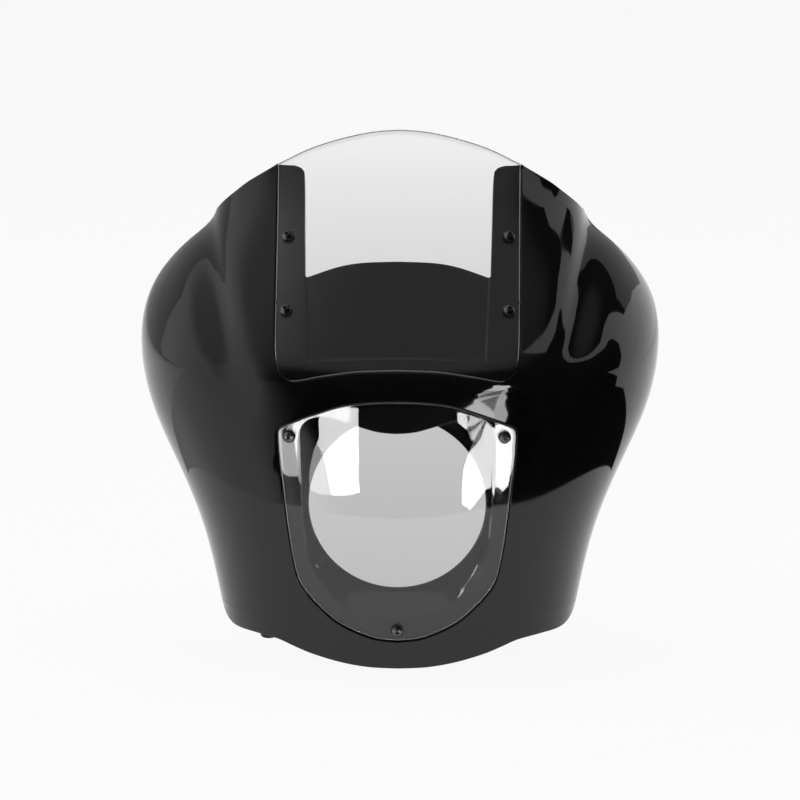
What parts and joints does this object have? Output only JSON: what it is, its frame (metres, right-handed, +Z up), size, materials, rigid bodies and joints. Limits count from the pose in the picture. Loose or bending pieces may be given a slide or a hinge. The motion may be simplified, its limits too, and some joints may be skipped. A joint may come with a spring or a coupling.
{
  "type": "headlight cowl",
  "caption": "Gloss black moulded quarter fairing around a round headlamp opening, with a clear screen, a clear lens and steel brackets inside.",
  "frame": {"origin": "centre of the round headlamp opening, on the front face of its panel", "axes": "front faces -Y, +Z up, +X to the right as seen from the front"},
  "size_m": [0.4644, 0.2252, 0.4547],
  "materials": {
    "gloss_black": "high gloss moulded black",
    "clear_sheet": "clear polished plastic sheet",
    "black_screw": "black oxide, satin",
    "washer_black": "black nylon",
    "zinc_steel": "zinc plated",
    "black_steel": "black powder coat",
    "brass": "plain brass",
    "rubber": "matt black rubber"
  },
  "bodies": {
    "root": {"shell": "gloss_black", "screen": "clear_sheet", "lens": "clear_sheet", "screen_screws": "black_screw", "screen_washers": "washer_black", "screen_nuts": "zinc_steel", "lens_screws": "black_screw", "lens_washers": "rubber", "lens_nuts": "zinc_steel", "left_bracket": "black_steel", "right_bracket": "black_steel", "bracket_inserts": "brass", "bracket_screws": "black_screw", "bracket_washers": "zinc_steel", "grommets": "rubber", "sleeves": "zinc_steel", "rim_bumper": "rubber"}
  },
  "joints": []
}
